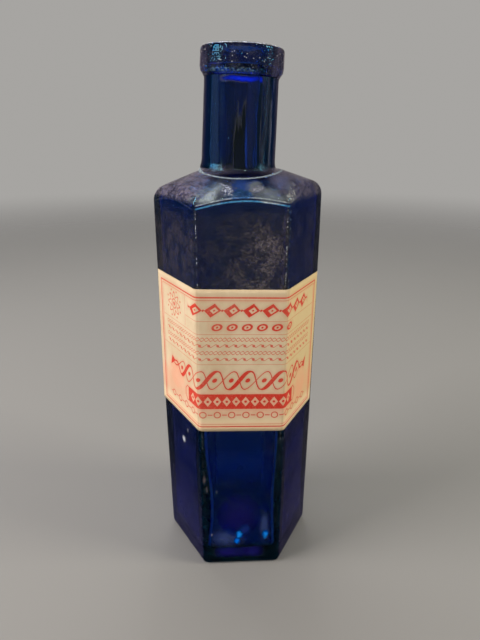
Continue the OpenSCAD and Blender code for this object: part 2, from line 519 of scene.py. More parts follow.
# Colours of the glass, of what lies on it, and of light caught in it; many are painted highlights, glints,
# reflections and shade
CLEAR = (0.98, 0.97, 1.0)
# White of chips, seeds and wear, and of painted highlights and painted lines of light
WHITE_FLAWS_AND_HIGHLIGHTS = (0.80, 0.84, 0.88)
# Painted reflections, highlights and glints of the shoulder and of the ring round the neck's foot
SILVER = (0.74, 0.86, 0.90)
CORNER_HIGHLIGHT_GREY = (0.58, 0.58, 0.55)
LEFT_GLINT = (0.72, 0.78, 0.95)
RIGHT_GLINT = (0.72, 0.74, 0.88)
RING_WHITE = (0.62, 0.74, 0.80)
MAUVE = (0.62, 0.50, 0.64)
LILAC_GREY = (0.42, 0.46, 0.60)
LIP_MAUVE = (0.42, 0.30, 0.62)
PALE_AZURE = (0.35, 0.58, 0.75)
AZURE = (0.04, 0.45, 0.90)
AZURE_ARCH_LIGHT = (0.10, 0.40, 0.72)
DULL_BLUE = (0.10, 0.30, 0.75)
# Painted light in the neck's upright bands
STREAK_LIGHT_BLUE = (0.1, 0.3, 0.9)
DEEP_STREAK_LIGHT = (0.02, 0.10, 0.8)
BEVEL_BLUE = (0.02, 0.12, 0.8)
GLINT_BLUE = (0.01, 0.30, 1.0)
SEEN_BLUE = (0.0, 0.24, 0.9)
SHOULDER_BLUE = (0.02, 0.20, 0.92)
LIT_BLUE = (0.0, 0.19, 1.0)
GLEAM_BLUE = (0.0, 0.02, 1.0)
PURE_BLUE = (0.02, 0.08, 0.85)
VIOLET = (0.27, 0.26, 0.78)
PURPLE = (0.22, 0.05, 0.85)
INDIGO = (0.06, 0.02, 0.70)
BROWN_DUST = (0.47, 0.33, 0.30)
PALE_DUST = (0.55, 0.46, 0.46)
NICK_PINK = (0.6, 0.45, 0.5)
# Dark of the residue inside, and of painted shade in the corners
DARK_RESIDUE_AND_SHADE = (0.004, 0.004, 0.010)
# Painted shade in the neck's upright bands
STREAK_SHADE = (0.002, 0.003, 0.02)
BLUE_RESIDUE = (0.004, 0.008, 0.16)

# Light in the glass. Its thin film evens out what the surface mirrors.
GLASS_IOR = 1.33
FILM_IOR = 1.15
FILM_NM = 226
COBALT = (0.03, 0.67, 0.88)
BODY_DENSITY = 1530
LIP_DENSITY = 2100


def mark(mask, thickness, colour, stain=1.0):
    """What lies on the glass, or light and shade painted on it: where it is, how dense, its colour, and how
    much it stains the light.
    """
    return mask, thickness, colour, stain


def cobalt_glass(name, seeds, density, marks):
    """Deep blue glass, wavy all over, hammered on the shoulder and drawn into upright streaks in the neck.

    marks(at) lists what lies on the glass and the light and shade painted on it, from the bottom up.
    """
    material, tree, shader = material_tree(name)
    at = GlassPlace(tree)
    neck = at.z.ramp(154, 158)
    shoulder = at.z.ramp(146, 150) * at.z.ramp(158, 153.5)
    fill(shader, {"IOR": GLASS_IOR, "Thin Film IOR": FILM_IOR, "Thin Film Thickness": FILM_NM})

    waves = at.noise(95, 2)
    peel = at.noise(420, 3)
    hammered = at.noise(900, 3, roughness=0.65)
    streaks = at.noise(330, 3, stretch=(1, 1, 0.1))
    pits = at.specks(420, 0.1 * seeds)
    height = waves * 0.8 + peel * (shoulder * 0.7 + 0.25) + hammered * (shoulder * 0.3 + 0.05 * seeds)
    height = height + streaks * neck * 0.5 - pits * 0.12
    bump(tree, shader, height, 0.0006, 0.8)

    smears = at.noise(160, 5)
    film = smears.ramp(0.5, 0.9, 0, 0.01)
    tint = CLEAR
    for mask, thickness, colour, stain in marks(at):
        film = film.most(mask * thickness)
        tint = blend_colours(tree, (mask * 6).least(1) * stain, tint, colour)
    tree.links.new(film.flipped().socket, shader.inputs["Transmission Weight"])
    tree.links.new(tint, shader.inputs["Base Color"])
    rough = smears.ramp(0.35, 0.75, 0.02, 0.07) + shoulder * 0.05 + film * 0.25
    tree.links.new(rough.socket, shader.inputs["Roughness"])
    volume = tree.nodes.new("ShaderNodeVolumeAbsorption")
    fill(volume, {"Color": (*COBALT, 1), "Density": density})
    output = tree.nodes["Material Output"]
    tree.links.new(volume.outputs["Volume"], output.inputs["Volume"])
    return material


# Half the width of a panel at its moulded edges
EDGE_X = 15.0

# Marks on the front and left panels, in millimetres: across, up, half the width, half the height, strength.
# The spots, glints and smears are painted light in the foot, and the first chip is a painted glint
AZURE_SPOTS = ((-0.9, 15.3, 1.9, 2.8), (-1.8, 12.0, 1.6, 2.1), (9.6, 15.0, 1.8, 2.8))
SPOT_GLINTS = ((-0.8, 15.4, 1.1, 1.5), (9.6, 14.6, 0.9, 1.5))
FOOT_LIGHT_SMEARS = ((-5.5, 13.4, 7.5, 5.2), (9.2, 19.0, 2.2, 7.5), (1.4, 17.6, 2.4, 2.6))
CHIPS_AND_GLINT = (
    # The first is a painted glint; the others are chips
    (-22.2, 53.4, 0.75, 1.8),
    (-20.3, 59.4, 0.4, 1.3, 0.2),
    (-9.6, 36.8, 0.5, 0.6, 0.3),
    (-11.9, 15.5, 0.5, 0.8, 0.35),
)
NICKS = ((-14.2, 42.6, 0.7, 2.2), (-13.3, 38.0, 0.5, 1.8))
RIGHT_NICK = (20.2, 47, 0.6, 0.7)


def dust_marks(at, outside, bloom, grain):
    """Brown dust on the upper panels, thickest at the right of the front one."""
    top = at.z.ramp(60, 128) * at.z.ramp(147, 135) * at.y.ramp(0, 15, 1, 0.5)
    left_panel = at.x.ramp(-EDGE_X - 0.8, -EDGE_X, 1.4, 1)
    across = at.x.ramp(-10, 9, 0.25, 1) * at.x.ramp(EDGE_X - 0.4, EDGE_X + 0.6, 1, 0.12) * left_panel
    flecks = top * grain.ramp(0.56, 0.64) * bloom.ramp(0.4, 0.55) * across
    dust = top * bloom.ramp(0.38, 0.62, 0.25, 1) * grain.ramp(0.38, 0.62, 0.15, 1) * across
    return [
        mark(dust * outside, 0.24, BROWN_DUST, 0.75),
        mark(flecks * outside, 0.2, PALE_DUST, 0.9),
    ]


def residue_and_glow_marks(at, inside, bloom):
    """The dried film inside, painted blue in the low part as painted light in the glass, and dark above it.
    """
    low = at.z.ramp(3, 60, 0.9, 0.1) * bloom.ramp(0.3, 0.7, 0.4, 1)
    high = at.z.ramp(46, 76) * bloom.ramp(0.3, 0.6, 0.6, 1)
    return [
        # Residue painted bright blue, standing in for blue light in the low glass
        mark(inside * low, 0.35, PURE_BLUE, 0.2),
        mark(inside * high, 0.35, DARK_RESIDUE_AND_SHADE, 0.6),
    ]


def edge_wear_and_light_marks(at, outside, grain):
    """Base wear with a painted highlight along the heel, white wear with a painted highlight on the
    corners, and a painted white highlight over a painted azure line of light on the arches.
    """
    corner, rise = at.stored("corner"), at.stored("rise")
    corner_line, white_rise, azure_rise = 0.6, 1.05, 0.0
    dots = at.noise(1500, 2).ramp(0.48, 0.62)
    dots = dots * at.noise(300, 2).ramp(0.35, 0.6, 0.25, 1)
    # The corner line is white wear and a painted highlight
    worn = line_at(corner, corner_line, 0.05, 0.1) * rise.ramp(-1, 0.5, 1, 0)
    worn = worn * at.z.ramp(20, 130, 0.05, 1)
    outer_side = abs(at.x).ramp(EDGE_X + 0.1, EDGE_X + 0.5) * at.x.ramp(-1, 1, 1, 0.6)
    worn = worn * outer_side.flipped()
    right_corner = at.x.ramp(EDGE_X - 0.8, EDGE_X - 0.2) * at.x.ramp(EDGE_X + 1, EDGE_X + 1.5, 1, 0)
    panel = corner.ramp(0.3, 1.1).most(right_corner) * outside
    front = abs(at.x).ramp(EDGE_X - 0.4, EDGE_X + 0.5, 1, 0.05)
    past_right = at.x.ramp(EDGE_X - 0.4, EDGE_X + 0.5) * at.x.ramp(EDGE_X + 1.5, EDGE_X + 5, 0.7, 0)
    # Painted white highlight and painted azure light along the arches
    white_arch = line_at(rise, white_rise, 0.1, 0.25) * panel * dots.ramp(0, 1, 0.5, 1)
    azure_arch = line_at(rise, azure_rise, 0.1, 0.28) * panel * grain.ramp(0.4, 0.6, 0.5, 1)
    return [
        # Base wear with a painted highlight along the heel
        mark(at.z.ramp(0.3, 0.8, 1, 0) * outside, 0.2, WHITE_FLAWS_AND_HIGHLIGHTS, 0.4),
        mark(worn * dots * outside, 0.8, WHITE_FLAWS_AND_HIGHLIGHTS),
        mark(white_arch * front.most(past_right), 0.65, WHITE_FLAWS_AND_HIGHLIGHTS),
        mark(azure_arch * front, 0.8, AZURE_ARCH_LIGHT),
    ]


def cavity_marks(at, inside, outside, grain):
    """Painted lines of light along the edges of the space inside, bowed in a third of the way up, and
    painted shade in the corners beside them.
    """
    half_gap, bow = 13.3, line_at(at.z, 29, 2, 26)
    past_edge = abs(at.x) + bow * at.x.ramp(-1, 1, 1.8, 0.9) - half_gap
    low = at.z.ramp(4, 7) * at.z.ramp(60, 90, 1, 0)
    # Painted lines of light along the edges of the space inside, on the inside and on the outside
    line = line_at(past_edge, 0, 0.28, 0.4) * low
    seen = line_at(past_edge + 0.1, 0, 0.2, 0.5) * at.z.ramp(8, 14) * at.z.ramp(64, 90, 1, 0)
    seen = seen * at.y.ramp(-20, -24) * outside
    between_edges = abs(at.x).ramp(EDGE_X - 0.8, EDGE_X + 0.2, 1, 0)
    # Painted shade in the thick corners beside them
    corner_shade = past_edge.ramp(0.3, 0.7) * between_edges * low * at.y.ramp(-12, -16)
    return [
        mark(inside * corner_shade, 0.9, DARK_RESIDUE_AND_SHADE),
        mark(inside * line, 0.9, WHITE_FLAWS_AND_HIGHLIGHTS),
        mark(seen * grain.ramp(0.3, 0.6, 0.6, 1), 0.035, SEEN_BLUE, 0.9),
    ]


def foot_marks(at, outside, bloom, warp):
    """Light caught in the thick foot: indigo and violet, smears, and the azure spots."""
    front = at.y.ramp(-12, -16) * outside
    u, v = at.x + warp * 2, at.z + warp * 3.5
    strip = line_at(v, 6.3, 1.2, 1.8) * abs(u + 1).ramp(6, 11, 1, 0)
    side_foot = abs(at.x).ramp(EDGE_X + 0.2, EDGE_X + 1) * at.z.ramp(45, 8) * at.z.ramp(0.2, 1.5)
    spots = blobs(u, v, AZURE_SPOTS)
    return [
        mark(strip * front * bloom.ramp(0.3, 0.6, 0.5, 1), 0.17, INDIGO),
        mark(blob(u, v, -1, 25, 9, 11) * front, 0.03, PURPLE),
        mark(side_foot * outside, 0.045, VIOLET),
        mark(blobs(u, v, FOOT_LIGHT_SMEARS) * front * bloom.ramp(0.3, 0.6, 0.45, 1), 0.14, LIT_BLUE, 0.7),
        mark(spots * spots * front, 0.9, LIT_BLUE),
        mark(blobs(u, v, SPOT_GLINTS) * front, 1.0, GLINT_BLUE),
    ]


def chip_and_glint_marks(at, outside, warp):
    """Small chips and nicks on the front and left panels, and a white painted glint drawn like a chip."""
    front = outside * at.y.ramp(-6, -9)
    nicks = blobs(at.x + warp * 2, at.z, NICKS).most(blob(at.x, at.z, *RIGHT_NICK))
    return [
        mark(blobs(at.x, at.z, CHIPS_AND_GLINT) * front, 0.6, WHITE_FLAWS_AND_HIGHLIGHTS),
        mark(nicks * front, 0.15, NICK_PINK),
    ]


def panel_marks(at):
    inside = at.stored("inside")
    outside = inside.flipped()
    bloom = at.noise(200, 6, roughness=0.68)
    grain = at.noise(1200, 4, roughness=0.75)
    warp = at.noise(500, 3) - 0.5
    return [
        *dust_marks(at, outside, bloom, grain),
        *residue_and_glow_marks(at, inside, bloom),
        *edge_wear_and_light_marks(at, outside, grain),
        *cavity_marks(at, inside, outside, grain),
        *foot_marks(at, outside, bloom, warp),
        *chip_and_glint_marks(at, outside, warp),
    ]


def shoulder_marks(at):
    """Painted reflections and light on the shoulder, brightest at the front: painted mauve reflection at
    the sides, painted blue light and painted silver reflections in front, a painted highlight at the right
    corner, painted glints by the neck's foot, and a pale painted highlight ring round it.
    """
    outside = at.stored("inside").flipped()
    rise = at.stored("rise")
    bloom = at.noise(150, 5, roughness=0.62)
    grain = at.noise(900, 4, roughness=0.7)
    on_shoulder = at.z.ramp(146, 148) * at.z.ramp(158, 155) * outside
    speckle = grain.ramp(0.38, 0.62, 0.2, 1)
    mottle = bloom.ramp(0.3, 0.6, 0.25, 1) * speckle
    crumple = at.noise(1900, 2, roughness=0.5).ramp(0.46, 0.56)
    warp = at.noise(300, 3) - 0.5
    front = at.y.ramp(-14, -18) * on_shoulder
    ring_x, ring_half_w, ring_half_d, ring_r = 0.8, 14.5, 18.5, 16
    around = length_of((at.x - ring_x) / ring_half_w, at.y / ring_half_d) * ring_r
    ring = line_at(around, ring_r, 0.2, 0.4) * on_shoulder
    side = abs(at.x).ramp(7, 13).most(at.y.ramp(-16, -8))
    u, v = at.x + warp * 6, rise + warp * 3
    smooth = grain.ramp(0.3, 0.6, 0.6, 1) * front
    return [
        # Painted reflection at the sides, then painted blue light in front
        mark(mottle * on_shoulder * side * at.x.ramp(-8, 8, 1, 0.65), 0.25, MAUVE, 0.8),
        mark(blob(u, v, 1.2, 4.1, 7.5, 2.6) * front, 0.17, SHOULDER_BLUE, 0.9),
        mark(blob(u, v, -0.5, 2.0, 6.5, 1.3) * speckle * front, 0.3, DULL_BLUE),
        # Painted silver reflections
        mark(blob(u, v, -11, 7.2, 8, 4.8, slope=0.5) * smooth, 0.2, SILVER),
        mark(blob(u, v, -12.2, 7.8, 7, 3.4, slope=0.57) * smooth, 0.55, SILVER),
        mark(blob(u, v, 10, 4.6, 8, 3.0, slope=-0.3) * smooth, 0.2, SILVER),
        # Painted highlight at the right corner and painted glints by the neck's foot
        mark(blob(u, v, 15.4, 2.2, 2.8, 3.4) * crumple * front, 0.6, CORNER_HIGHLIGHT_GREY),
        mark(blob(u, v, -4.7, 0.92, 3.6, 1.5, slope=-0.64) * crumple * front, 0.5, LEFT_GLINT),
        mark(blob(u, v, 4.8, 1.84, 2.8, 1.2, slope=0.33) * crumple * front, 0.4, RIGHT_GLINT),
        # Painted highlight ring round the neck's foot
        mark(ring * crumple.ramp(0, 1, 0.4, 1), 0.55, RING_WHITE),
    ]


def neck_marks(at):
    """Upright bands of painted shade and painted light in the neck, wavering like drawn streaks and darkest
    along its sides, a dark residue inside it, and a painted blue gleam under the collar.
    """
    inside = at.stored("inside")
    outside = inside.flipped() * at.z.ramp(155.5, 157.5)
    across = at.x - at.along * sind(NECK_LEAN)
    threads = at.noise(520, 3, roughness=0.7, stretch=(1, 1, 0.07))
    streaks = at.noise(260, 2, stretch=(1, 1, 0.06))
    wander = across + (streaks - 0.5) * 4 + (threads - 0.5) * 3
    middle = line_at(wander, 0.2, 0.8, 1.9) * (at.z + (threads - 0.5) * 45).ramp(160, 178, 1, 0)
    side_shade = abs(wander).ramp(9.8, 11.3) * at.y.ramp(-1, -4)
    dark = middle.most(line_at(wander, 5.9, 0.3, 1.0)).most(side_shade)
    pale = line_at(wander, 8.7, 1.0, 1.2) * threads.ramp(0.42, 0.62)
    gleam = line_at(at.along + (streaks - 0.5) * 1.2, NECK_LEN - 1, 0.1, 1.3)
    gleam = gleam * at.x.ramp(-10, 1) * at.x.ramp(10, 3)
    return [
        mark(inside * at.z.ramp(150, 158) * streaks.ramp(0.42, 0.6, 0.4, 1), 0.6, BLUE_RESIDUE, 0.6),
        # Painted shade down the middle, at the right and along both sides, then painted light in blue and
        # lilac bands
        mark(dark * outside, 0.6, STREAK_SHADE),
        mark(line_at(wander, -8.9, 0.7, 0.9) * outside, 0.05, STREAK_LIGHT_BLUE, 0.9),
        mark(line_at(wander, 3.4, 0.8, 1.0) * outside, 0.04, DEEP_STREAK_LIGHT, 0.9),
        mark(pale * outside, 0.04, LILAC_GREY, 0.7),
        mark(gleam * gleam * outside, 0.8, GLEAM_BLUE),
    ]


def body_marks(at):
    return panel_marks(at) + shoulder_marks(at) + neck_marks(at)


def lip_marks(at):
    """Seeds, thickest towards the top, brown haze and mauve at the collar's sides, with a painted highlight
    along the top edge, painted blue light at the foot of the bevel and a pale painted highlight along the
    bevel.
    """
    dots = at.noise(1400, 2).ramp(0.47, 0.6)
    haze = at.noise(300, 4, roughness=0.65)
    threads = at.noise(450, 3, roughness=0.7, stretch=(1, 1, 0.15))
    seeds = at.specks(1000, 0.12) * at.noise(500, 2).ramp(0.46, 0.56)
    azure_seeds = at.specks(520, 0.1) * at.noise(420, 2).ramp(0.5, 0.56)
    edge_band = abs(at.x + 0.5).ramp(8, 12.5) * threads.ramp(0.42, 0.6, 0.3, 1)
    foot_band = line_at(at.along, 28.6, 0.6, 0.6) * at.x.ramp(-9, -5) * at.x.ramp(8, 3)
    bevel_line = line_at(at.along, 29.6, 0.3, 0.4) * dots * (at.x.ramp(-11, -7) * at.x.ramp(7, 3))
    radius = length_of(at.x - at.along * sind(NECK_LEAN), at.y)
    top_edge = line_at(at.along, 37.2, 0.15, 0.2) * radius.ramp(12.8, 13.3)
    return [
        mark(edge_band, 0.12, LIP_MAUVE, 0.8),
        mark(haze.ramp(0.4, 0.7), 0.03, BROWN_DUST, 0.3),
        # Painted blue light at the foot of the bevel
        mark(foot_band, 0.15, BEVEL_BLUE, 0.9),
        mark(seeds * at.along.ramp(30, 33, 0.4, 1), 0.75, WHITE_FLAWS_AND_HIGHLIGHTS),
        mark(azure_seeds, 0.6, AZURE),
        # Painted highlights along the bevel and the top edge
        mark(bevel_line, 0.35, PALE_AZURE),
        mark(top_edge * dots.ramp(0, 1, 0.35, 1), 0.8, WHITE_FLAWS_AND_HIGHLIGHTS),
    ]


body_glass = cobalt_glass("cobalt_glass", 1.0, BODY_DENSITY, body_marks)
lip_glass = cobalt_glass("seedy_lip_glass", 2.4, LIP_DENSITY, lip_marks)


def neck_rings():
    """Rings up the outside of the neck to its end, and rings from there down the bore."""
    end = NECK_LEN + SOCKET_H
    outer = [(NECK_LOW_R + past, up) for past, up in NECK_FLARE]
    outer += between(outer[-1], (NECK_TOP_R, NECK_LEN), NECK_RINGS)
    outer += [(NECK_TOP_R, NECK_LEN), (NECK_TOP_R, NECK_LEN + SOCKET_H * 0.5), (NECK_TOP_R, end)]
    inner = [(BORE_R, end)] + between((BORE_R, end), (BORE_R, 0), NECK_RINGS)
    neck = [[on_neck(r, t, d) for d in DIRECTIONS] for r, t in outer]
    bore = [[on_neck(r, t, d) for d in DIRECTIONS] for r, t in inner]
    return moved_in(neck[:-3], neck_wave) + neck[-3:], bore[:2] + moved_in(bore[2:], bore_wave)


def store_places(bottle, rings, outer_count):
    """Keeps what the marks follow: being inside, the rise over the crease, the distance from a corner."""
    crease_z = [shoulder_edge(d)[0][1] for d in DIRECTIONS]
    from_corner = [abs(sind(d - 60 * round(d / 60))) for d in DIRECTIONS]
    inside = [float(j >= outer_count) for j in range(len(rings)) for d in DIRECTIONS]
    rise = [p[2] - z for ring in rings for p, z in zip(ring, crease_z)]
    corner = [math.hypot(p[0], p[1]) * k for ring in rings for p, k in zip(ring, from_corner)]
    store(bottle, "inside", [0.0] + inside + [1.0])
    store(bottle, "rise", [-SHOULDER_Z] + rise + [-SHOULDER_Z])
    store(bottle, "corner", [0.0] + corner + [0.0])


def make_bottle():
    """Body and neck in one skin of glass: outside up, over the neck's end, and inside down."""
    outside = moved_in(rings_of([outer_column(d) for d in DIRECTIONS]), outside_wave)
    inside = moved_in(rings_of([inner_column(d) for d in DIRECTIONS]), inside_wave)
    neck, bore = neck_rings()
    rings = outside + neck + bore + inside
    points = [(0, 0, HOLLOW_H)] + [p for ring in rings for p in ring] + [(0, 0, FLOOR_Z)]
    count, last = len(DIRECTIONS), len(points) - 1
    faces = [(0, 1 + (i + 1) % count, 1 + i) for i in range(count)]
    faces += grid_faces(len(rings), count, 1)
    faces += [(last, last - count + i, last - count + (i + 1) % count) for i in range(count)]
    bottle = add_mesh("bottle_glass", points, faces, [body_glass])
    store_places(bottle, rings, len(outside) + len(neck))
    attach(bottle, "root")
    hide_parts("body", "neck")


def lip_profile():
    """The collar's section as (radius, height): up the outside, over the top, and down its seat."""
    top = LIP_H - 2 * LIP_CLEARANCE
    seat = SOCKET_H + LIP_CLEARANCE
    socket_r = NECK_TOP_R + LIP_CLEARANCE
    lower = [
        (socket_r, 0),
        (LIP_BEVEL_R, LIP_BEVEL_H),
        (LIP_R, LIP_WIDEST_H),
        (LIP_TOP_R, LIP_H - LIP_EDGE_R),
    ]
    outer = [lower[0]]
    for a, b, n in zip(lower, lower[1:], (4, 3, 8)):
        outer += between(a, b, n) + [b]
    top_out = [
        (LIP_TOP_R - LIP_EDGE_R * (1 - cosd(a)), top - LIP_EDGE_R * (1 - sind(a)))
        for a in np.linspace(10, 90, 8)
    ]
    top_in = [
        (BORE_R + LIP_EDGE_R * (1 - sind(a)), top - LIP_EDGE_R * (1 - cosd(a)))
        for a in np.linspace(0, 90, 9)
    ]
    inner = between(top_in[-1], (BORE_R, seat), 4) + [(BORE_R, seat)]
    inner += between(inner[-1], (socket_r, seat), 2) + [(socket_r, seat)]
    inner += between(inner[-1], lower[0], 3)
    return outer + top_out + between(top_out[-1], top_in[0], 3) + top_in + inner


def make_lip():
    """The applied collar, a ring round the neck's end and over it."""
    start = NECK_LEN + LIP_CLEARANCE
    profile = lip_profile()
    points = []
    for r, t in profile:
        for i in range(LIP_SIDES):
            d = i * 360 / LIP_SIDES
            dip = lip_wave(on_neck(r, t + start, d)) if r > NECK_TOP_R + 0.5 else 0
            points.append(on_neck(r - dip, t + start, d))
    faces = grid_faces(len(profile) + 1, LIP_SIDES)
    faces = [tuple(p % len(points) for p in face) for face in faces]
    lip = add_mesh("lip_collar", points, faces, [lip_glass])
    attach(lip, "root")
    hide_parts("lip")


make_bottle()
make_lip()


def on_front(u, z, clear):
    """A point clear of the glass, at a length round it from the front's middle and at a height."""
    side = side_at(z)
    flat_half = side / 2 - CORNER_R * tand(30)
    past = abs(u) - flat_half
    arc_len = CORNER_R * math.pi / 3
    turn = min(max(past / arc_len, 0), 1) * 60
    run = max(past - arc_len, 0)
    x = min(abs(u), flat_half) + (CORNER_R + clear) * sind(turn) + run * cosd(60)
    y = CORNER_R - side * cosd(30) - (CORNER_R + clear) * cosd(turn) + run * sind(60)
    return math.copysign(x, u), y, z


def on_label(u, v, clear):
    return on_front(
        LABEL_SHIFT + u * cosd(LABEL_TURN) - v * sind(LABEL_TURN),
        LABEL_Z + u * sind(LABEL_TURN) + v * cosd(LABEL_TURN),
        clear,
    )


def sheet_faces(cols, rows):
    """Faces of a sheet's outer side, and those of its side towards the glass and of its rim."""
    first = cols * rows
    rim = [*range(cols)]
    rim += [j * cols + cols - 1 for j in range(1, rows)]
    rim += [(rows - 1) * cols + i for i in range(cols - 2, -1, -1)]
    rim += [j * cols for j in range(rows - 2, 0, -1)]
    outer, others = [], []
    for j in range(rows - 1):
        for i in range(cols - 1):
            a = j * cols + i
            others.append((a, a + cols, a + cols + 1, a + 1))
            outer.append((first + a, first + a + 1, first + a + cols + 1, first + a + cols))
    for a, b in zip(rim, rim[1:] + rim[:1]):
        others.append((a, b, first + b, first + a))
    return outer, others


def folded_sheet(name, margin, clear_in, clear_out, materials):
    """A sheet folded round the front three panels, a margin smaller than the label on each side.

    The first material is for its outer side. Its UV map is the flat sheet.
    """
    w, h = LABEL_W - 2 * margin, LABEL_H - 2 * margin
    across = np.linspace(-w / 2, w / 2, LABEL_COLUMNS)
    up = np.linspace(-h / 2, h / 2, LABEL_ROWS)
    points, uv = [], []
    for clear in (clear_in, clear_out):
        for v in up:
            for u in across:
                dip = paper_wave(u, v) if clear == clear_out else 0
                points.append(on_label(u, v, clear - dip))
                uv.append((u / w + 0.5, v / h + 0.5))
    outer, others = sheet_faces(LABEL_COLUMNS, LABEL_ROWS)
    sheet = add_mesh(name, points, outer + others, materials)
    for i, face in enumerate(sheet.data.polygons):
        face.material_index = int(i >= len(outer))
    layer = sheet.data.uv_layers.new(name="flat_sheet")
    for loop in sheet.data.loops:
        layer.data[loop.index].uv = uv[loop.vertex_index]
    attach(sheet, "root")
    return sheet


# Colours of the paper, its age, the print and the paste
PAPER_BACK = ((0.42, 0.33, 0.2), (0.62, 0.52, 0.36))
PASTE_BROWN = ((0.30, 0.21, 0.10), (0.58, 0.47, 0.30))
CREAM = ((0.70, 0.535, 0.335), (0.79, 0.635, 0.425))
RIGHT_PANEL_YELLOW = (0.74, 0.56, 0.27)
WASHED_RED = (0.97, 0.35, 0.21)
PALE_FOOT = (0.94, 0.72, 0.44)
WORN_EDGE = (0.55, 0.40, 0.22)
CREASE_BROWN = (0.52, 0.37, 0.22)
INK_RED = (0.69, 0.038, 0.018)


def plain_paper():
    """The brown back of the paper."""
    material, tree, shader = material_tree("paper_back")
    place = object_coordinates(tree)
    mottle = noise_field(tree, place, 180, 4)
    colour = blend_colours(tree, mottle, *PAPER_BACK)
    tree.links.new(colour, shader.inputs["Base Color"])
    shader.inputs["Roughness"].default_value = 0.9
    bump(tree, shader, noise_field(tree, place, 1500, 4), 0.00005)
    return material


def dried_paste():
    """Brown paste, brushed on upright and part glossy."""
    material, tree, shader = material_tree("dried_paste")
    place = object_coordinates(tree)
    streaks = noise_field(tree, place, 260, 5, stretch=(1, 1, 0.3))
    colour = blend_colours(tree, streaks.ramp(0.35, 0.7), *PASTE_BROWN)
    tree.links.new(colour, shader.inputs["Base Color"])
    tree.links.new(streaks.ramp(0.3, 0.7, 0.35, 0.7).socket, shader.inputs["Roughness"])
    bump(tree, shader, streaks, 0.00008)
    return material


# The print, in millimetres from the label's middle: u to the right, v up
FRAME_HALF_W = 41.35
FRAME_HALF_H = 24.8
FRAME_V = -0.44
RULE_END = 40.2
RULES = ((15.95, -22.5, RULE_END), (11.21, -RULE_END, RULE_END), (-0.11, -RULE_END, RULE_END))
FINE_ROWS_V = (9.32, 6.93, 4.29, 1.85)
FINE_HALF_LEN = 37.2
SLANT = 0.3
CREASE_U = 15.35


def repeated(x, period):
    """Distance from the nearest multiple of a period, with its sign."""
    return ((x / period + 0.5).math("FRACT") - 0.5) * period


def run_of(u, start, end, count):
    """Position in its own cell, for a row of equal cells from start to end."""
    period = (end - start) / count
    return repeated(u - (start + period / 2), period)


def box_distance(x, y, half_w, half_h):
    return (abs(x) - half_w).most(abs(y) - half_h)


def rule_distance(u, v, v_at, start, end, half=0.07):
    return box_distance(u - (start + end) / 2, v - v_at, (end - start) / 2, half)


def frame_distance(u, v):
    """A double ruled border, thick outside and fine inside."""
    edge = box_distance(u, v - FRAME_V, FRAME_HALF_W, FRAME_HALF_H)
    return (abs(edge) - 0.24).least(abs(edge + 1.0) - 0.08)


def title_distance(u, v):
    """Eight bold slanted lozenges with a heavier left side and dots between."""
    start, end, v_mid, half_w, half_h = -19.3, 32.9, 19.85, 2.95, 2.5
    y = v - v_mid
    x = run_of(u - y * SLANT, start, end, 8)
    outer = (abs(x) / half_w + abs(y) / half_h - 1) * 1.8
    inner = (abs(x - 0.5) / half_w + abs(y) / half_h - 0.48) * 1.8
    heart = (abs(x - 0.5) / half_w + abs(y) / half_h - 0.16) * 1.8
    dots = length_of(run_of(u - y * SLANT + 3.26, start, end, 8), y) - 0.42
    shapes = outer.most(inner * -1).least(heart).least(dots)
    return shapes.most(box_distance(u - (start + end) / 2, y, (end - start) / 2 + 1, 3))


def rings_distance(u, v):
    """Six slanted oval rings."""
    start, end, v_mid = -10.6, 20.3, 13.77
    y = v - v_mid
    x = run_of(u - y * SLANT, start, end, 6)
    ring = abs(length_of(x * 0.72, y) - 1.05) - 0.3
    bead = length_of(x, y) - 0.4
    return ring.least(bead).most(box_distance(u - (start + end) / 2, y, (end - start) / 2, 2))


def fine_line_distance(u, v, v_at, chain):
    """A fine chain of pointed ovals, or a fine row of beads on a wave."""
    y = v - v_at
    turn = (u - y * SLANT) * (math.pi / 1.55)
    if chain:
        shape = abs(abs(y) - abs(turn.math("SINE")) * 0.62) - 0.14
    else:
        wave = abs(y - turn.math("SINE") * 0.5) - 0.14
        beads = length_of(run_of(u, -FINE_HALF_LEN, FINE_HALF_LEN, 24), y) - 0.5
        shape = wave.least(beads)
    return shape.most(box_distance(u, y, FINE_HALF_LEN, 1))


def flourish_distance(u, v):
    """Two interlaced waves, one drawn thick and thin, dying away at both ends."""
    v_mid, half_len, reach, period = -6.35, 35.0, 3.5, 11.7
    y = v - v_mid
    lean = u - y * SLANT
    swell = abs(lean).ramp(half_len - 12, half_len, reach, 0.2)
    turn = lean * (2 * math.pi / period)
    rise, steep = turn.math("SINE"), turn.math("COSINE")
    stretch = (steep * steep * 2.2 + 1).math("SQRT")
    thick = abs(y - rise * swell) / stretch - (steep.most(0) * 0.85 + 0.26)
    thin = abs(y + rise * swell) / stretch - 0.2
    eye = length_of(repeated(lean - period / 4, period / 2), y) - 0.85
    shapes = thick.least(thin).least(eye.most(abs(u) - 27))
    return shapes.most(abs(lean) - half_len)


def banner_distance(u, v):
    """A solid band with cut corners and a loose outline, pierced by lozenges and dots."""
    u_mid, v_mid, half_w, half_h = 0.65, -14.85, 24.3, 2.87
    x, y = u - u_mid, v - v_mid
    plate = box_distance(x, y, half_w - 2.2, half_h).most(abs(x) + abs(y) * 0.8 - half_w)
    loose = box_distance(x, y, half_w, half_h).most(abs(x) + abs(y) * 0.8 - half_w - 1.1)
    border = abs(loose) - 0.16
    cell = run_of(u, u_mid - 20.4, u_mid + 20.4, 12)
    hole = ((abs(cell) / 1.5 + abs(y) / 1.95 - 1) * 1.2).most((length_of(cell, y) - 0.5) * -1)
    hole = hole.most(abs(x) - 20.4)
    return plate.most(hole * -1).least(border)


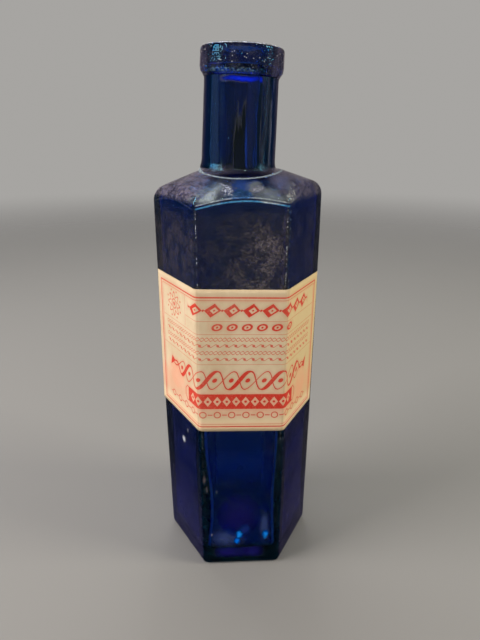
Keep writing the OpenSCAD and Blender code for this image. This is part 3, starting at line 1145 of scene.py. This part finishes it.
def lower_row_distance(u, v):
    """A light row of rings and dashes."""
    v_mid, half_len = -20.37, 36.4
    y = v - v_mid
    cell = run_of(u, -half_len, half_len, 14)
    ring = abs(length_of(cell, y) - 1.15) - 0.22
    dash = box_distance(run_of(u + 2.6, -half_len, half_len, 14), y, 0.85, 0.22)
    return ring.least(dash).most(abs(u) - half_len)


def rosette_distance(u, v):
    """An eight-petalled rosette in the upper left corner, beside a fine upright rule."""
    x, y = u + 31.0, v - 17.4
    r = length_of(x, y)
    turn = y.math("ARCTAN2", x) * 8
    petals = abs(r - turn.math("COSINE") * 0.9 - 3.5) - 0.34
    rings = (abs(r - 1.7) - 0.22).least(r - 0.75)
    beads = length_of(r - 5.2, (turn * 0.125 + 0.3927).math("PINGPONG", 0.3927) * 5.2) - 0.4
    side_rule = box_distance(u + 22.5, v - 17.7, 0.07, 5.6)
    return petals.least(rings).least(beads).least(side_rule)


def aged_cream(tree, u, v, mottle, fibres, soil):
    """Cream paper, yellower on the right panel, stained, worn at its edges and creased at the corners."""
    cream = blend_colours(tree, mottle.ramp(0.3, 0.7), *CREAM)
    right_panel_paper = blend_colours(tree, u.ramp(14, 19) * 0.8, cream, RIGHT_PANEL_YELLOW)
    stain_left = length_of((u + 31) / 9.5, (v + 12) / 8.5).ramp(0.35, 1.1, 1, 0)
    stain_right = length_of((u - 31) / 8.5, (v + 14) / 10).ramp(0.3, 1.1, 1, 0)
    stain_band = abs(v + 16).ramp(2, 8, 0.5, 0)
    stains = (stain_left.most(stain_right) * 0.75).most(stain_band) * soil.ramp(0.25, 0.65, 0.45, 1)
    washed = blend_colours(tree, stains * 0.75, right_panel_paper, WASHED_RED)
    pale_foot = blend_colours(tree, v.ramp(-20, -25, 0, 0.9), washed, PALE_FOOT)
    edge = box_distance(u, v, LABEL_W / 2, LABEL_H / 2)
    worn = edge.ramp(-1.4, 0, 0, 0.4) * fibres.ramp(0.3, 0.6, 0.4, 1)
    aged = blend_colours(tree, worn, pale_foot, WORN_EDGE)
    crease = abs(abs(u + LABEL_SHIFT) - CREASE_U).ramp(0.1, 0.55, 0.35, 0)
    return blend_colours(tree, crease, aged, CREASE_BROWN)


def print_distances(u, v, jitter):
    """Distances to the bold shapes and to the light ones, with the loose edges of old print."""
    wobbly = u + jitter, v + jitter
    bold = title_distance(*wobbly).least(rings_distance(*wobbly))
    bold = bold.least(flourish_distance(*wobbly)).least(banner_distance(*wobbly))
    bold = bold.least(frame_distance(u, v))
    light = reduce(Field.least, [rule_distance(u, v, *rule) for rule in RULES])
    for i, v_at in enumerate(FINE_ROWS_V):
        light = light.least(fine_line_distance(*wobbly, v_at, i % 2 == 0))
    return bold, light.least(lower_row_distance(*wobbly)).least(rosette_distance(*wobbly))


def printed_paper():
    """Aged cream paper, printed in one red ink."""
    material, tree, shader = material_tree("printed_label")
    uv_map = tree.nodes.new("ShaderNodeUVMap")
    uv_map.uv_map = "flat_sheet"
    u, v = parts_of(tree, uv_map.outputs["UV"])[:2]
    u = (u - 0.5) * LABEL_W
    v = (v - 0.5) * LABEL_H
    place = object_coordinates(tree)
    jitter = (noise_field(tree, place, 900, 3) - 0.5) * 0.22
    mottle = noise_field(tree, place, 130, 5)
    fibres = noise_field(tree, place, 1300, 4, roughness=0.7)
    soil = noise_field(tree, place, 45, 4)

    bold, light = print_distances(u, v, jitter)
    patchy = fibres.ramp(0.28, 0.5, 0.8, 1) * soil.ramp(0.3, 0.6, 0.88, 1)
    ink = (bold.below_zero(0.1) * patchy).most(light.below_zero(0.12) * patchy * 0.85)
    bleed = bold.ramp(-0.2, 1.3, 0.16, 0)
    paper = aged_cream(tree, u, v, mottle, fibres, soil)
    inked = blend_colours(tree, ink.most(bleed), paper, INK_RED)
    tree.links.new(inked, shader.inputs["Base Color"])
    tree.links.new(fibres.ramp(0.3, 0.7, 0.62, 0.85).socket, shader.inputs["Roughness"])
    shader.inputs["Specular IOR Level"].default_value = 0.3
    bump(tree, shader, fibres * 0.5 + mottle * 0.8 - ink * 0.08, 0.00009)
    return material


def make_label():
    """The sheet of paper, printed outside and plain towards the glass."""
    clear_out = PASTE_T + PAPER_T - PAPER_CLEARANCE
    materials = [printed_paper(), plain_paper()]
    paper_label = folded_sheet("label_sheet", 0.0, PASTE_T, clear_out, materials)
    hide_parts("paper_label")


def make_paste():
    """The film of dried paste between the glass and the paper."""
    materials = [dried_paste(), dried_paste()]
    paste_film = folded_sheet("paste_film", PASTE_GAP, 0.0, PASTE_T, materials)
    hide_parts("label_paste")


make_label()
make_paste()


# The studio. The floor's reach is in millimetres, and the lamps and the camera are in metres and degrees.
STUDIO_GREY = (0.385, 0.375, 0.36)
CEILING_GREY = (0.10, 0.10, 0.10)
FLOOR_GREY = (0.27, 0.265, 0.255)
FLOOR_REACH = 1600
WHITE = (1, 1, 1)
WARM_LEFT = (1.0, 0.94, 0.92)
WARM_RIGHT = (1.0, 0.94, 0.80)
COOL = (0.85, 0.92, 1.0)
LAMP_AIM_Z = 0.1

# Azimuth, elevation and distance from the bottle, width and height, radiance, colour
LAMPS = {
    "overhead": (105, 55, 0.75, 0.6, 0.4, 2.0, WHITE),
    "rim_strip": (90, 46, 0.8, 1.1, 0.03, 12.0, WHITE),
    "front_strip": (-90, 40, 0.9, 0.9, 0.02, 20.0, WHITE),
    "left_key": (195, 32, 0.75, 0.4, 0.35, 12.5, WARM_LEFT),
    "right_fill": (-15, 30, 0.8, 0.25, 0.35, 12.5, WARM_RIGHT),
    "left_strip": (212, 5, 0.8, 0.05, 0.4, 1.5, COOL),
    "right_strip": (-12, 5, 0.8, 0.05, 0.4, 1.5, WHITE),
    "back_spark": (60, 40, 0.8, 0.05, 0.05, 14.0, WHITE),
    "small_spark_a": (87.8, 39.5, 0.826, 0.016, 0.02, 220.0, WHITE),
    "small_spark_b": (82.8, 39.3, 0.827, 0.012, 0.018, 180.0, WHITE),
}

# The photograph's viewpoint, found by fitting the bottle's edges
CAMERA_PLACE = (-0.008, -0.1864, 0.1684)
CAMERA_DOWN = 20.69
CAMERA_RIGHT = 2.67
PICTURE_HEIGHT = 640
FOCAL_PIXELS = 506


def make_floor():
    """A pale disc of floor whose rim fades into the backdrop."""
    rim = [(FLOOR_REACH * cosd(a), FLOOR_REACH * sind(a), 0) for a in range(0, 360, 6)]
    material, tree, shader = material_tree("floor")
    floor = add_mesh("floor", rim, [tuple(range(len(rim)))], [material])
    fill(shader, {"Base Color": (*FLOOR_GREY, 1), "Roughness": 0.8, "Specular IOR Level": 0.1})
    place = object_coordinates(tree)
    distance = tree.nodes.new("ShaderNodeVectorMath")
    distance.operation = "LENGTH"
    tree.links.new(place, distance.inputs[0])
    fade = Field(tree, distance.outputs["Value"]).ramp(0.35, 1.4)
    backdrop = tree.nodes.new("ShaderNodeBsdfTransparent")
    mix = tree.nodes.new("ShaderNodeMixShader")
    tree.links.new(fade.socket, mix.inputs[0])
    tree.links.new(shader.outputs[0], mix.inputs[1])
    tree.links.new(backdrop.outputs[0], mix.inputs[2])
    tree.links.new(mix.outputs[0], tree.nodes["Material Output"].inputs["Surface"])


def soft_lamp(name, azimuth, elevation, distance, width, height, radiance, colour):
    """An area lamp that faces the bottle. Azimuth is seen from above, with -Y at -90 degrees."""
    lamp = bpy.data.lights.new(name, "AREA")
    lamp.shape = "RECTANGLE"
    lamp.size, lamp.size_y = width, height
    lamp.energy = radiance * math.pi * width * height
    lamp.color = colour
    aim = Vector((0, 0, LAMP_AIM_Z))
    away = Vector((cosd(azimuth) * cosd(elevation), sind(azimuth) * cosd(elevation), sind(elevation)))
    obj = new_object(name, lamp)
    obj.location = aim + away * distance
    obj.rotation_mode = "QUATERNION"
    obj.rotation_quaternion = away.to_track_quat("Z", "Y")


def make_backdrop():
    """The same pale grey all round and below, darker towards the ceiling."""
    world = bpy.data.worlds.new("studio")
    bpy.context.scene.world = world
    world.use_nodes = True
    tree = world.node_tree
    direction = tree.nodes.new("ShaderNodeTexCoord").outputs["Generated"]
    up = parts_of(tree, direction)[2].ramp(0.3, 0.75)
    colour = blend_colours(tree, up, STUDIO_GREY, CEILING_GREY)
    tree.links.new(colour, tree.nodes["Background"].inputs["Color"])


def make_stage():
    """A pale floor, a backdrop and soft lamps."""
    make_floor()
    make_backdrop()
    for name, settings in LAMPS.items():
        soft_lamp(name, *settings)


def make_camera():
    data = bpy.data.cameras.new("camera")
    data.sensor_width = 36
    data.lens = data.sensor_width * FOCAL_PIXELS / PICTURE_HEIGHT
    data.clip_start = 0.01
    camera = new_object("camera", data)
    camera.location = CAMERA_PLACE
    camera.rotation_euler = Euler((math.radians(90 - CAMERA_DOWN), 0, math.radians(-CAMERA_RIGHT)))
    bpy.context.scene.camera = camera


make_stage()
make_camera()
bpy.context.scene.view_settings.view_transform = "Standard"
